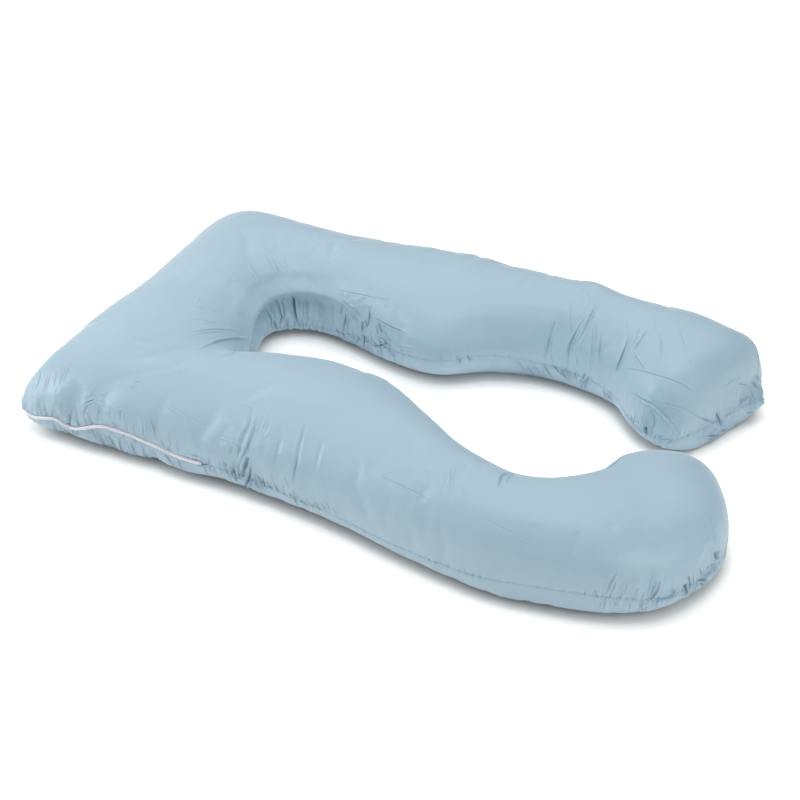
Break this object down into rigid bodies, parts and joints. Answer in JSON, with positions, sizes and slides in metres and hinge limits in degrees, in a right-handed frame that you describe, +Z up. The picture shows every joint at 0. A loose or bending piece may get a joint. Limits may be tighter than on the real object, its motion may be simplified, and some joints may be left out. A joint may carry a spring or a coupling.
{
  "type": "body pillow",
  "caption": "Full-length U-shaped filled pillow with a closed head end, legs that curl inwards at their ends and a closed zip in the side seam of its cover.",
  "frame": {"origin": "on the floor under the middle of the whole pillow", "axes": "+X from the closed head end towards the ends of the legs, +Y towards the leg without the zip, +Z up from the underside it rests on"},
  "size_m": [1.2961, 0.7943, 0.182],
  "materials": {
    "cover_fabric": "smooth satin-weave cotton, light blue",
    "zip_tape": "white woven tape with a white coil"
  },
  "bodies": {
    "root": {"pillow": "cover_fabric", "zip": "zip_tape"}
  },
  "joints": []
}
